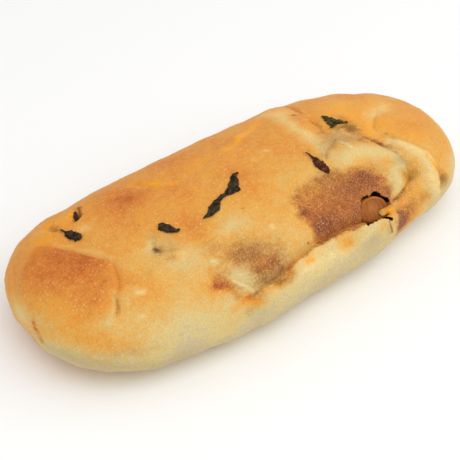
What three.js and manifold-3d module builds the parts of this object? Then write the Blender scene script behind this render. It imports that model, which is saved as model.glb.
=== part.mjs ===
// A baked panzerotto: a long closed roll of leavened dough round a soft filling.
// Its ends are folded over, its near side is folded up in a lip, and the crust has torn
// beside that lip, so that the filling bulges through. Leaves and a shred lie on the crust.
// The roll lies along X on its flat underside, near side towards -Y. Lengths are in mm.
//
// A place on the roll is given by x and by its turn, an angle in degrees round the section:
// 0 is the far side, 90 the top, 180 the near side and 270 the underside.
import * as THREE from 'three';
import { mergeVertices } from 'three/addons/utils/BufferGeometryUtils.js';
import Module from 'manifold-3d';

const wasm = await Module();
wasm.setup();

// The roll as a whole
const LENGTH = 190;
const WIDTH = 90.7;
const HEIGHT = 42;
const WAIST_HEIGHT = 0.38 * HEIGHT;
const BEND = -3.5;
const UNDERSIDE_DROP = 1.35;
const SIDE_ROUND = 0.9;
const TOP_ROUND = 0.95;
const BOTTOM_ROUND = 0.8;

// How each end draws in: a larger "along" keeps its width longer, "across" rounds the tip
const LEFT_END = { along: 2.24, across: 2.58 };
const RIGHT_END = { along: 1.56, across: 2.62 };

// The uneven sides: how far each bulges out, at five places along the roll
const SWELL_AT = [-80, -45, 0, 45, 80];
const SWELL_REACH = 24;
const FAR_SWELL = [8.1, -0.5, -5.1, 1.7, 2.4];
const NEAR_SWELL = [2.5, -2.7, -6.0, -3.4, 6.6];

// Folds die out over this length at the very tips
const TIP_CALM = 4;

// Lips: the dough to the left of the track lies on top, with a rolled edge
const LIPS = [
  {
    name: 'left end folded over',
    track: [[-77, 139], [-75.3, 130], [-73, 121], [-70, 115], [-68, 108], [-66.8, 102], [-68, 97.5],
      [-70, 92.5], [-72, 87], [-74, 80.5], [-75.5, 75], [-77, 68], [-79.5, 58], [-83, 42]],
    rise: 2.6, edge: 2.6, reach: 26, crease: 0.7, creaseWidth: 2.2, fade: 0.14,
  },
  {
    name: 'near side folded up',
    track: [[37, 161], [35, 165], [28, 161], [16, 155.5], [4, 156.5], [-9, 156.5], [-18, 161],
      [-25, 160.5], [-31, 160]],
    rise: 2.2, edge: 2.4, reach: 13, crease: 1.5, creaseWidth: 3.2, fade: 0.1,
  },
  {
    name: 'right end folded over',
    track: [[76, 80], [66, 90], [58, 98], [56, 104], [60, 114], [66, 129], [69, 139], [69, 152]],
    rise: 1.7, edge: 2.6, reach: 16, crease: 0.6, creaseWidth: 2.4, fade: 0.2,
  },
];

// Ridges and hollows: a positive height stands up, a negative one sinks in
const RIDGES = [
  { name: 'inner fold', height: 2.0, width: 4.2, fade: 0.2,
    track: [[24, 108], [36, 110], [44, 114], [49, 120], [52, 130], [50, 141], [46, 150], [41, 157]] },
  { name: 'outer fold', height: 1.7, width: 3.8, fade: 0.2,
    track: [[50, 108], [57, 117], [62, 125], [66, 134], [67, 147], [65, 163], [64, 177], [61, 191]] },
  { name: 'hollow between folds', height: -1.6, width: 2.8, fade: 0.2,
    track: [[46, 106], [54, 119], [56, 128], [56, 139], [54, 149], [48, 156], [40, 157]] },
  { name: 'hollow outside folds', height: -1.2, width: 2.4, fade: 0.25,
    track: [[68, 133], [70, 145], [68, 157], [67, 173], [66, 189]] },
  { name: 'tongue over the tear', height: 1.3, width: 2.6, fade: 0.1,
    track: [[31, 159], [35, 161], [40, 163]] },
  { name: 'crest at the end of the near lip', height: 1.3, width: 3.0, fade: 0.25,
    track: [[-37, 149], [-33, 154], [-30, 160], [-29, 167]] },
  { name: 'seam across the far side', height: -0.9, width: 2.2, fade: 0.25,
    track: [[-61, 58], [-51, 59], [-47, 63], [-42, 70]] },
  { name: 'seam along the top', height: -0.8, width: 2.2, fade: 0.25,
    track: [[-38, 58], [-33, 71], [-28, 80], [-22, 83]] },
  { name: 'slit at the far left', height: -1.5, width: 2.2, fade: 0.3,
    track: [[-56, 54], [-60, 60], [-65, 62]] },
  { name: 'pinch at the far left', height: -1.2, width: 2.6, fade: 0.3,
    track: [[-66, 44], [-69, 54], [-68, 63]] },
  { name: 'swelling on the far side', height: 1.2, width: 10.0, fade: 0.45,
    track: [[-21, 39], [-11, 37], [-1, 35], [9, 34], [18, 32]] },
  { name: 'dent beside the upper leaf', height: -1.1, width: 2.6, fade: 0.3,
    track: [[40, 76], [39, 82], [36, 91]] },
];

// The tear, in its own plane: across, then up the crust, from its middle
const TEAR = { x: 30.5, turn: 152.5, cutAbove: 6, cutBelow: 15 };
const TEAR_EDGE = [[-4.1, 5.6], [-2.9, 6.0], [-0.6, 5.6], [-0.6, 4.9], [1.1, 5.1], [2.3, 5.4],
  [4.5, 4.8], [5.7, 3.0], [6.8, 1.2], [8.0, 0.2], [8.0, -2.1], [3.5, -1.6], [-0.4, -1.3],
  [-0.2, -2.3], [1.4, -3.5], [4.9, -5.2], [6.2, -6.5], [5.8, -7.3], [4.0, -5.9], [2.0, -4.9],
  [-2.7, -3.9], [-5.6, -3.6], [-8.9, -2.8], [-8.3, -0.4], [-6.8, 3.3]];

// The filling: a core of the roll's own form, and the bulge that fills the tear
const CORE = { halfLength: 76, halfWidth: 30, halfHeight: 13, middle: 20.5 };
const BULGE = { across: 8.6, up: 5.3, deep: 14, lean: -12, at: [-0.2, -0.8], sunk: 0.7, squareness: 24,
  crown: 0.016 };
const CLEARANCE = 0.4;

// Leaves and shreds: centre line and half widths on each side of it
const LEAF_THICKNESS = 0.5;
const LEAF_LIFT = 0.5;
const LEAF_WAVE = 0.25;
const WAVES_IN_LEAF = 2.5;
const LEAVES = [
  { name: 'leaf_long', track: [[-6.5, 91], [-9, 91.6], [-11, 94.5], [-13.5, 97.5], [-17.5, 98.8],
    [-20, 99.2], [-23, 100.4], [-25.5, 102.3], [-28, 104.2], [-31, 104.6]],
    left: [0.3, 0.9, 1.8, 2.2, 0.8, 0.8, 1.4, 2.1, 1.3, 0.3],
    right: [0.3, 1.0, 1.8, 2.0, 0.9, 0.8, 1.3, 1.8, 1.2, 0.3] },
  { name: 'leaf_patch', track: [[-40.4, 104], [-42, 103.6], [-43.2, 101], [-43.8, 98], [-43.6, 95]],
    left: [0.3, 0.9, 1.7, 2.1, 0.8], right: [0.3, 1.2, 2.1, 1.9, 0.8] },
  { name: 'leaf_mid', track: [[-68.3, 64], [-68.2, 68], [-68, 70], [-67.6, 74], [-67.2, 77], [-66.8, 79]],
    left: [0.3, 0.4, 1.5, 1.9, 1.7, 0.6], right: [0.3, 0.4, 1.5, 1.8, 1.8, 0.7] },
  { name: 'leaf_right', track: [[44, 79.3], [44.4, 83], [44.5, 86.5], [44.2, 89.8]],
    left: [0.3, 1.4, 2.4, 4.3], right: [0.3, 1.2, 2.2, 3.1] },
  { name: 'leaf_sliver', track: [[-57.8, 52], [-59, 55], [-60.3, 58.5], [-61.5, 61.5]],
    left: [0.3, 0.7, 0.8, 0.3], right: [0.3, 0.7, 0.8, 0.3] },
  { name: 'tomato_shred', track: [[21.2, 97.5], [21.6, 101], [21.6, 105], [21.5, 109], [21.4, 112.5],
    [21.2, 116]], left: [0.3, 0.4, 1.5, 2.2, 1.7, 0.4], right: [0.3, 0.4, 1.5, 2.1, 1.7, 0.4] },
];
const LEAF_STEPS = 18;
const LEAF_STRIPS = 3;

// Rows along the roll and columns round it, closer together where the folds are
const TIP_LENGTH = 12;
const TIP_ROWS = 5;
const TIP_CROWDING = 2.6;
const ROW_ZONES = [[-83, -63, 13], [-63, -34, 8], [-34, 20, 14], [20, 72, 28], [72, 83, 5]];
const TURN_ZONES = [[0, 60, 6], [60, 100, 7], [100, 145, 8], [145, 170, 9], [170, 225, 7],
  [225, 315, 3], [315, 360, 4]];

// Materials
const material = (color, roughness) => new THREE.MeshStandardMaterial({ color, roughness, metalness: 0 });
const CRUST = material(0xd9a25a, 0.6);
const FILLING = material(0xa85f22, 0.35);
const LEAF = material(0x2a2f1d, 0.7);
const TOMATO = material(0x4a1c14, 0.6);

const bump = (value, centre, reach) => Math.exp(-(((value - centre) / reach) ** 2));
const signedPower = (value, power) => Math.sign(value) * Math.abs(value) ** power;
const smooth = (value) => THREE.MathUtils.smoothstep(value, 0, 1);

// The plain form of the roll: a flat-bottomed oval section that draws in to both ends
function rollPoint(x, turn) {
  const t = x / (LENGTH / 2);
  const end = t < 0 ? LEFT_END : RIGHT_END;
  const fullness = Math.max(1 - Math.abs(t) ** end.along, 0) ** (1 / end.across);
  const angle = THREE.MathUtils.degToRad(turn);
  const [side, up] = [Math.cos(angle), Math.sin(angle)];
  const swells = side > 0 ? FAR_SWELL : NEAR_SWELL;
  const swell = swells.reduce((sum, size, i) => sum + size * bump(x, SWELL_AT[i], SWELL_REACH), 0);
  const halfWidth = (WIDTH / 2) * fullness + swell * Math.sqrt(fullness);
  const y = BEND * (1 - t * t) + halfWidth * signedPower(side, SIDE_ROUND);
  const z = up >= 0
    ? WAIST_HEIGHT + (HEIGHT - WAIST_HEIGHT) * fullness * up ** TOP_ROUND
    : WAIST_HEIGHT * (1 - UNDERSIDE_DROP * fullness * (-up) ** BOTTOM_ROUND);
  return new THREE.Vector3(x, y, Math.max(z, 0));
}

// The two directions along the surface at a place: per mm of x and per degree of turn
function rollSlopes(x, turn) {
  const [dx, dTurn] = [0.05, 0.2];
  const inside = THREE.MathUtils.clamp(x, -LENGTH / 2 + 2 * dx, LENGTH / 2 - 2 * dx);
  const alongX = rollPoint(inside + dx, turn).sub(rollPoint(inside - dx, turn)).divideScalar(2 * dx);
  const roundIt = rollPoint(inside, turn + dTurn).sub(rollPoint(inside, turn - dTurn))
    .divideScalar(2 * dTurn);
  return { alongX, roundIt };
}

function rollNormal(x, turn) {
  if (Math.abs(x) > LENGTH / 2 - 0.1) return new THREE.Vector3(Math.sign(x), 0, 0);
  const { alongX, roundIt } = rollSlopes(x, turn);
  return roundIt.cross(alongX).normalize();
}

// A smooth track over the roll through the given places, with the direction to its left
function trackOverRoll(places, steps = 60) {
  const chart = new THREE.CatmullRomCurve3(places.map(([x, turn]) => new THREE.Vector3(x, turn, 0)));
  const spots = chart.getPoints(steps).map((c) => ({ x: c.x, turn: c.y, at: rollPoint(c.x, c.y) }));
  spots.forEach((spot, i) => {
    const before = spots[Math.max(i - 1, 0)].at;
    const after = spots[Math.min(i + 1, steps)].at;
    spot.ahead = after.clone().sub(before).normalize();
    spot.left = rollNormal(spot.x, spot.turn).cross(spot.ahead).normalize();
    spot.share = i / steps;
  });
  return spots;
}

// Where a point lies beside a track: mm to the left of it, and how much of the track is felt there
function besideTrack(spots, point, fade) {
  let nearest = spots[0];
  spots.forEach((spot) => {
    if (spot.at.distanceToSquared(point) < nearest.at.distanceToSquared(point)) nearest = spot;
  });
  const offset = point.clone().sub(nearest.at);
  const left = Math.sign(offset.dot(nearest.left)) * offset.length();
  const past = Math.abs(offset.dot(nearest.ahead));
  const ends = smooth(nearest.share / fade) * smooth((1 - nearest.share) / fade);
  return { left, felt: ends * Math.exp(-((past / 4) ** 2)) };
}

// A rolled edge that rises to the left of its track and then dies out, with a crease to the right
function lipRise(lip, point) {
  const { left, felt } = besideTrack(lip.spots, point, lip.fade);
  const toEdge = THREE.MathUtils.clamp(left / lip.edge, 0, 1);
  const edge = Math.sqrt(1 - (1 - toEdge) ** 2);
  const dying = Math.exp(-((Math.max(left, 0) / lip.reach) ** 2));
  const beyond = Math.exp(-((Math.min(left, 0) / lip.creaseWidth) ** 2));
  return felt * (lip.rise * edge * dying - lip.crease * (1 - edge) * beyond);
}

function ridgeRise(ridge, point) {
  const { left, felt } = besideTrack(ridge.spots, point, ridge.fade);
  return felt * ridge.height * Math.exp(-((left / ridge.width) ** 2));
}

[...LIPS, ...RIDGES].forEach((fold) => { fold.spots = trackOverRoll(fold.track); });

// The crust: the plain form with every lip, ridge and hollow raised along its normal
function crustPoint(x, turn) {
  const plain = rollPoint(x, turn);
  const lips = LIPS.reduce((sum, lip) => sum + lipRise(lip, plain), 0);
  const ridges = RIDGES.reduce((sum, ridge) => sum + ridgeRise(ridge, plain), 0);
  const calm = smooth((LENGTH / 2 - Math.abs(x)) / TIP_CALM);
  const crust = plain.addScaledVector(rollNormal(x, turn), calm * (lips + ridges));
  crust.z = Math.max(crust.z, 0);
  return crust;
}

const spaced = (zones) => zones.flatMap(([from, to, count]) =>
  Array.from({ length: count }, (_, i) => from + ((to - from) * i) / count));

// Rows that crowd towards the two tips, so that the rounding of each end keeps its shape
function rowsAlongRoll() {
  const tip = Array.from({ length: TIP_ROWS }, (_, i) =>
    LENGTH / 2 - TIP_LENGTH * ((i + 1) / (TIP_ROWS + 1)) ** TIP_CROWDING);
  return [...tip.map((x) => -x), ...spaced(ROW_ZONES), LENGTH / 2 - TIP_LENGTH, ...tip.reverse()];
}

// A closed skin over rows of points, with a single point at each end
function skinOverRows(first, rings, last) {
  const count = rings[0].length;
  const points = [first, ...rings.flat(), last];
  const at = (row, column) => 1 + row * count + (column % count);
  const faces = [];
  for (let column = 0; column < count; column += 1) {
    faces.push([0, at(0, column + 1), at(0, column)]);
    faces.push([points.length - 1, at(rings.length - 1, column), at(rings.length - 1, column + 1)]);
  }
  for (let row = 0; row + 1 < rings.length; row += 1) {
    for (let column = 0; column < count; column += 1) {
      const [a, b] = [at(row, column), at(row, column + 1)];
      const [c, d] = [at(row + 1, column), at(row + 1, column + 1)];
      const shorter = points[a].distanceToSquared(points[d]) < points[b].distanceToSquared(points[c]);
      faces.push(...(shorter ? [[a, b, d], [a, d, c]] : [[a, b, c], [b, d, c]]));
    }
  }
  const geometry = new THREE.BufferGeometry().setFromPoints(points);
  geometry.setIndex(faces.flat());
  return geometry;
}

function crustGeometry() {
  const turns = spaced(TURN_ZONES);
  const rings = rowsAlongRoll().map((x) => turns.map((turn) => crustPoint(x, turn)));
  return skinOverRows(crustPoint(-LENGTH / 2, 90), rings, crustPoint(LENGTH / 2, 90));
}

// The filling's core has the roll's own form, drawn in from the dough all round
function coreGeometry(grown) {
  const turns = Array.from({ length: 20 }, (_, i) => i * 18);
  const shares = Array.from({ length: 23 }, (_, i) => -Math.cos((Math.PI * (i + 1)) / 24));
  const drawnIn = (share, turn) => {
    const outer = rollPoint((share * LENGTH) / 2, turn);
    return new THREE.Vector3(
      share * (CORE.halfLength + grown),
      outer.y * ((CORE.halfWidth + grown) / (WIDTH / 2)),
      CORE.middle + (outer.z - HEIGHT / 2) * ((CORE.halfHeight + grown) / (HEIGHT / 2)),
    );
  };
  const rings = shares.map((share) => turns.map((turn) => drawnIn(share, turn)));
  return skinOverRows(drawnIn(-1, 90), rings, drawnIn(1, 90));
}

// The plane of the tear: across it, up the crust, and straight out of the dough
function tearPlane() {
  const out = rollNormal(TEAR.x, TEAR.turn);
  const across = rollSlopes(TEAR.x, TEAR.turn).alongX.normalize();
  const up = out.clone().cross(across).normalize();
  return new THREE.Matrix4().makeBasis(across, up, out).setPosition(rollPoint(TEAR.x, TEAR.turn));
}

function tearGeometry() {
  const edge = new THREE.Shape(TEAR_EDGE.map(([across, up]) => new THREE.Vector2(across, up)));
  const depth = TEAR.cutAbove + TEAR.cutBelow;
  return new THREE.ExtrudeGeometry(edge, { depth, bevelEnabled: false })
    .translate(0, 0, -TEAR.cutBelow).applyMatrix4(tearPlane());
}

// The bulge: a leaning oval pillow that stands on the core and fills the tear
function bulgeGeometry(grown) {
  const turns = Array.from({ length: 24 }, (_, i) => (i * Math.PI) / 12);
  const lean = THREE.MathUtils.degToRad(BULGE.lean);
  const spot = (share, angle) => {
    const height = (BULGE.deep + grown) * (1 - share ** BULGE.squareness);
    const a = (BULGE.across + grown) * share * Math.cos(angle);
    const b = (BULGE.up + grown) * share * Math.sin(angle);
    return new THREE.Vector3(
      BULGE.at[0] + a * Math.cos(lean) - b * Math.sin(lean),
      BULGE.at[1] + a * Math.sin(lean) + b * Math.cos(lean),
      height - BULGE.deep - BULGE.sunk - BULGE.crown * b * b,
    );
  };
  const shares = [1, 0.985, 0.96, 0.92, 0.85, 0.7, 0.4];
  const rings = shares.map((share) => turns.map((angle) => spot(share, angle)));
  return skinOverRows(new THREE.Vector3(...BULGE.at, -BULGE.deep - BULGE.sunk), rings, spot(0, 0))
    .applyMatrix4(tearPlane());
}

function solidOf(geometry) {
  const bare = geometry.clone();
  bare.deleteAttribute('normal');
  bare.deleteAttribute('uv');
  const merged = mergeVertices(bare, 1e-4);
  const mesh = new wasm.Mesh({
    numProp: 3,
    vertProperties: Float32Array.from(merged.attributes.position.array),
    triVerts: Uint32Array.from(merged.index.array),
  });
  return new wasm.Manifold(mesh);
}

function geometryOf(solid) {
  const mesh = solid.getMesh();
  const geometry = new THREE.BufferGeometry();
  geometry.setAttribute('position', new THREE.BufferAttribute(mesh.vertProperties, 3));
  geometry.setIndex(new THREE.BufferAttribute(mesh.triVerts, 1));
  return geometry;
}

function doughGeometry() {
  const hollow = solidOf(coreGeometry(CLEARANCE)).add(solidOf(bulgeGeometry(CLEARANCE)));
  return geometryOf(solidOf(crustGeometry()).subtract(hollow).subtract(solidOf(tearGeometry())));
}

function fillingGeometry() {
  return geometryOf(solidOf(coreGeometry(0)).add(solidOf(bulgeGeometry(0))));
}

// A value between the ones listed, at a share of the way along them
function between(values, share) {
  const place = share * (values.length - 1);
  const i = Math.min(Math.floor(place), values.length - 2);
  return THREE.MathUtils.lerp(values[i], values[i + 1], smooth(place - i));
}

// A thin wavy leaf that follows the crust: an upper and a lower face cut into the same triangles
function leafGeometry({ track, left, right }) {
  const spots = trackOverRoll(track, LEAF_STEPS);
  const rows = spots.map((spot) => {
    const { alongX, roundIt } = rollSlopes(spot.x, spot.turn);
    const normal = rollNormal(spot.x, spot.turn);
    const reach = [between(right, spot.share), between(left, spot.share)];
    return Array.from({ length: LEAF_STRIPS + 1 }, (_, i) => {
      const w = THREE.MathUtils.lerp(-reach[0], reach[1], i / LEAF_STRIPS);
      const x = spot.x + (w * spot.left.dot(alongX)) / alongX.lengthSq();
      const turn = spot.turn + (w * spot.left.dot(roundIt)) / roundIt.lengthSq();
      const wave = LEAF_WAVE * (1 + Math.sin(2 * Math.PI * (WAVES_IN_LEAF * spot.share + 0.4 * w)));
      return { foot: crustPoint(x, turn).addScaledVector(normal, LEAF_LIFT + wave), normal };
    });
  });
  const rings = rows.map((row) => [
    ...row.map(({ foot }) => foot),
    ...row.map(({ foot, normal }) => foot.clone().addScaledVector(normal, LEAF_THICKNESS)).reverse(),
  ]);
  const middle = (ring) =>
    ring.reduce((sum, point) => sum.add(point), new THREE.Vector3()).divideScalar(ring.length);
  return skinOverRows(middle(rings[0]), rings, middle(rings.at(-1)));
}

function piece(name, geometry, look) {
  const mesh = new THREE.Mesh(geometry, look);
  mesh.name = name;
  return mesh;
}

const roll = new THREE.Group();
roll.add(piece('dough', doughGeometry(), CRUST));
roll.add(piece('filling', fillingGeometry(), FILLING));
LEAVES.forEach((leaf) => {
  roll.add(piece(leaf.name, leafGeometry(leaf), leaf.name.startsWith('leaf') ? LEAF : TOMATO));
});

// The origin is on the underside, below the middle of the roll's footprint
const extent = new THREE.Box3().setFromObject(roll);
const centre = extent.getCenter(new THREE.Vector3());
roll.position.set(-centre.x, -centre.y, -extent.min.z);

const panzerotto = new THREE.Group();
panzerotto.add(roll);

export default panzerotto;
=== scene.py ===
import math
import bpy
import numpy as np
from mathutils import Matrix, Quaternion, Vector


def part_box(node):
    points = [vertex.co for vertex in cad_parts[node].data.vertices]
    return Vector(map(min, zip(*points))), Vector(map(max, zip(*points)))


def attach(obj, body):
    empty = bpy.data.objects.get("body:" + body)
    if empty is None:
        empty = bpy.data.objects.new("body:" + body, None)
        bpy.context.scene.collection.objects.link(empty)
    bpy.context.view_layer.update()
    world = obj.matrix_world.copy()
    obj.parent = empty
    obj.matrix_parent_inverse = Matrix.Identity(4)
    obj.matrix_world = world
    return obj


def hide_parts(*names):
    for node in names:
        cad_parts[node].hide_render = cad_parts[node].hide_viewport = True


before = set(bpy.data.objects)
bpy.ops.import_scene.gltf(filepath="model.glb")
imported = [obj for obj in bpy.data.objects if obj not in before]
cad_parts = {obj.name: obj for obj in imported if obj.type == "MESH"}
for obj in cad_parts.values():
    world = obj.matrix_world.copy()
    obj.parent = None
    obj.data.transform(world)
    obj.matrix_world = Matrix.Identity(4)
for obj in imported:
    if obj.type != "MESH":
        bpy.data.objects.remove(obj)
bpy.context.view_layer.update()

MM = 0.001

# ---- Camera, floor and light ----
# The camera looks down on the near side of the roll from its left, as in the photograph.
# The floor is pale and matte, under a wide soft lamp and an even white sky.
CAMERA_AT = Vector((-244.96, -288.47, 326.33)) * MM
CAMERA_AIM = Vector((-6.76, 3.24, 12.87)) * MM
CAMERA_ROLL = math.radians(-0.48)
LENS_MM = 102.56
SENSOR_MM = 36
NEAREST_SEEN = 0.01
FLOOR_HALF = 1.5
LAMPS = [
    # name, place in m, side in m, watts
    ("lamp in front, above", (-0.15, -0.45, 0.85), 1.0, 3.6),
    ("lamp from the right", (0.60, -0.45, 0.55), 0.8, 1.7),
]
SKY_STRENGTH = 0.74


def linear(hex_colour):
    """sRGB hex to linear RGBA: c/12.92 below 0.04045, else ((c + 0.055)/1.055)^2.4."""
    values = [int(hex_colour[i:i + 2], 16) / 255 for i in (1, 3, 5)]
    return [v / 12.92 if v <= 0.04045 else ((v + 0.055) / 1.055) ** 2.4 for v in values] + [1.0]


def aim(thing, at, target):
    """Places a thing and turns its -Z axis towards the target."""
    thing.location = at
    thing.rotation_mode = "QUATERNION"
    thing.rotation_quaternion = (target - at).to_track_quat("-Z", "Y")


camera = bpy.data.objects.new("camera", bpy.data.cameras.new("camera"))
camera.data.lens = LENS_MM
camera.data.sensor_width = SENSOR_MM
camera.data.clip_start = NEAREST_SEEN
aim(camera, CAMERA_AT, CAMERA_AIM)
camera.rotation_quaternion = camera.rotation_quaternion @ Quaternion((0, 0, 1), CAMERA_ROLL)
bpy.context.collection.objects.link(camera)
bpy.context.scene.camera = camera
bpy.context.scene.view_settings.view_transform = "Standard"

for lamp_name, lamp_at, lamp_side, lamp_watts in LAMPS:
    lamp = bpy.data.objects.new(lamp_name, bpy.data.lights.new(lamp_name, "AREA"))
    lamp.data.size = lamp_side
    lamp.data.energy = lamp_watts
    aim(lamp, Vector(lamp_at), Vector((0, 0, 0)))
    bpy.context.collection.objects.link(lamp)

sky = bpy.data.worlds.new("sky")
bpy.context.scene.world = sky
sky.use_nodes = True
sky.node_tree.nodes["Background"].inputs["Color"].default_value = (1, 1, 1, 1)
sky.node_tree.nodes["Background"].inputs["Strength"].default_value = SKY_STRENGTH

floor_mesh = bpy.data.meshes.new("floor")
floor_corners = [(sx * FLOOR_HALF, sy * FLOOR_HALF, 0) for sx, sy in ((-1, -1), (1, -1), (1, 1), (-1, 1))]
floor_mesh.from_pydata(floor_corners, [], [(0, 1, 2, 3)])
floor = bpy.data.objects.new("floor", floor_mesh)
bpy.context.collection.objects.link(floor)
# White card: matte, so that the roll's soft shadow is all that shows on it
floor_paint = bpy.data.materials.new("matte white card")
floor_paint.use_nodes = True
floor_shader = floor_paint.node_tree.nodes["Principled BSDF"]
floor_shader.inputs["Base Color"].default_value = linear("#f9f9f8")
floor_shader.inputs["Roughness"].default_value = 0.9
floor_mesh.materials.append(floor_paint)

# ---- Dough: its form ----
# One closed piece of leavened dough, rolled round the filling by hand and baked. Its ends are
# folded over, its near side is folded up in a lip, and it tore beside that lip in the oven.
# A place on it is x in mm and a turn in degrees: 0 far side, 90 top, 180 near side, 270 under.
LENGTH, WIDTH, HEIGHT = 190.0, 90.7, 42.0
WAIST_HEIGHT = 0.38 * HEIGHT
BEND = -3.5
UNDERSIDE_DROP = 1.35
SIDE_ROUND, TOP_ROUND, BOTTOM_ROUND = 0.9, 0.95, 0.8
# How each end draws in: the first keeps its width longer, the second rounds its tip
LEFT_END, RIGHT_END = (2.24, 2.58), (1.56, 2.62)
# The uneven sides: how far each bulges out at five places along the roll
SWELL_AT = (-80, -45, 0, 45, 80)
SWELL_REACH = 24
FAR_SWELL = (8.1, -0.5, -5.1, 1.7, 2.4)
NEAR_SWELL = (2.5, -2.7, -6.0, -3.4, 6.6)
# Folds die out over this length at the tips, and lines over this length past their ends
TIP_CALM, TRACK_CALM = 4.0, 4.0
SEAM_FADE = 0.15
# Unevenness of the crust: height and wavelength
UNEVEN = [(0.22, 17), (0.10, 7), (0.04, 2.6)]

# Lips: track, rise, edge radius, reach, crease depth, crease width, overhang, fade at the ends
LIPS = [
    ([(-77, 139), (-75.3, 130), (-73, 121), (-70, 115), (-68, 108), (-66.8, 102), (-68, 97.5),
      (-70, 92.5), (-72, 87), (-74, 80.5), (-75.5, 75), (-77, 68), (-79.5, 58), (-83, 42)],
     2.6, 1.6, 26, 0.8, 1.6, 0.8, 0.14),
    ([(37, 161), (35, 165), (28, 161), (16, 155.5), (4, 156.5), (-9, 156.5), (-18, 161),
      (-25, 160.5), (-31, 160)], 2.2, 2.4, 13, 1.5, 3.0, 1.3, 0.10),
    ([(76, 80), (66, 90), (58, 98), (56, 104), (60, 114), (66, 129), (69, 139), (69, 152)],
     1.5, 3.6, 16, 0.35, 2.2, 0.2, 0.28),
    ([(-29, 163), (-31, 157), (-34, 150), (-38, 140)], 1.0, 2.0, 8, 0.4, 1.5, 0.5, 0.25),
]

# Ridges (positive) and hollows (negative): track, height, half width, fade at the ends
RIDGES = [
    ([(24, 108), (36, 110), (44, 114), (49, 120), (52, 130), (50, 141), (46, 150), (41, 157)],
     1.4, 4.2, 0.2),
    ([(50, 108), (57, 117), (62, 125), (66, 134), (67, 147), (65, 163), (64, 177), (61, 191)],
     1.7, 2.8, 0.2),
    ([(46, 106), (54, 119), (56, 128), (56, 139), (54, 149), (48, 156), (40, 157)], -1.6, 2.6, 0.2),
    ([(68, 133), (70, 145), (68, 157), (67, 173), (66, 189)], -1.2, 2.2, 0.25),
    ([(31, 159), (35, 161), (40, 163)], 1.3, 2.4, 0.1),
    ([(-37, 149), (-33, 154), (-30, 160), (-29, 167)], 0.8, 3.0, 0.25),
    ([(-61, 58), (-51, 59), (-47, 63), (-42, 70)], -0.8, 1.6, 0.25),
    ([(-38, 58), (-33, 71), (-28, 80), (-22, 83)], -0.6, 1.4, 0.25),
    ([(-56, 54), (-60, 60), (-65, 62)], -1.5, 1.8, 0.3),
    ([(-66, 44), (-69, 54), (-68, 63)], -1.2, 2.0, 0.3),
    ([(-21, 39), (-11, 37), (-1, 35), (9, 34), (18, 32)], 1.2, 10.0, 0.45),
    ([(40, 76), (39, 82), (36, 91)], -1.0, 1.8, 0.3),
]

# Seams, too fine for more than a groove: track, depth, half width. Where one took on brown, its
# amount and width follow
SEAMS = {
    "pinch by the left flap": ([(-73, 120), (-74, 127), (-76, 135)], 0.6, 0.7, 0.2, 0.5),
    "far left pinch": ([(-69, 45), (-69.3, 54), (-68.5, 61)], 0.9, 0.7),
    "far left fold": ([(-72.5, 62), (-71, 68)], 0.5, 0.7),
    "far left slit": ([(-56.5, 50), (-59, 56), (-61, 61)], 1.2, 0.9, 0.6, 1),
    "top left seam": ([(-37, 58), (-34, 68), (-30, 78), (-25, 82)], 0.35, 0.8),
    "top seam": ([(0, 74), (4, 70), (9, 66), (15, 63), (22, 60)], 0.3, 0.8),
    "far right seam": ([(45, 42), (43, 52), (41.5, 60), (40, 68)], 0.9, 1.0, 0.15, 0.9),
    "seam by the right leaf": ([(39, 78), (39.3, 82), (38, 86), (36, 91)], 0.5, 0.6, 0.4, 0.6),
    "crease at the inner fold": ([(26, 107), (30, 102.5), (37, 97)], 0.4, 0.8, 0.45, 0.8),
    "crease between the folds": ([(48, 106), (51, 112), (53, 118), (54.5, 124)], 0.7, 1.1, 0.35, 1),
    "crease from the tear": ([(40, 157), (45, 156.5), (49, 153)], 0.9, 0.8, 0.4, 0.8),
    "crack in the lip": ([(33.6, 166.5), (33.2, 171), (33.6, 176)], 0.3, 0.5, 0.7, 0.4),
}

# Rows along the roll and columns round it, in mm and degrees, closer together at the tear
TIP_LENGTH, TIP_ROWS, TIP_CROWDING = 12.0, 12, 2.6
ROW_ZONES = [(-83, -63, 38), (-63, 20, 120), (20, 45, 60), (45, 72, 48), (72, 83, 15)]
TURN_ZONES = [(0, 60, 58), (60, 120, 74), (120, 145, 30), (145, 172, 40), (172, 200, 22),
              (200, 230, 17), (230, 310, 20), (310, 345, 12), (345, 360, 9)]


def bump(value, centre, reach):
    """Gaussian: exp(-((value - centre) / reach)^2)."""
    return np.exp(-((value - centre) / reach) ** 2)


def smooth(value):
    """Smooth step from 0 to 1: 3v^2 - 2v^3."""
    v = np.clip(value, 0, 1)
    return v * v * (3 - 2 * v)


def half_width(x, side):
    """Half width of the section: the drawn-in width, plus Gaussian swellings of its own side."""
    full = fullness(x)
    far = sum(size * bump(x, at, SWELL_REACH) for size, at in zip(FAR_SWELL, SWELL_AT))
    near = sum(size * bump(x, at, SWELL_REACH) for size, at in zip(NEAR_SWELL, SWELL_AT))
    return WIDTH / 2 * full + np.where(side > 0, far, near) * np.sqrt(full)


def fullness(x):
    """How full the section is: (1 - |t|^along)^(1/across), from 1 in the middle to 0 at a tip."""
    t = x / (LENGTH / 2)
    along = np.where(t < 0, LEFT_END[0], RIGHT_END[0])
    across = np.where(t < 0, LEFT_END[1], RIGHT_END[1])
    return np.maximum(1 - np.abs(t) ** along, 0) ** (1 / across)


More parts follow.
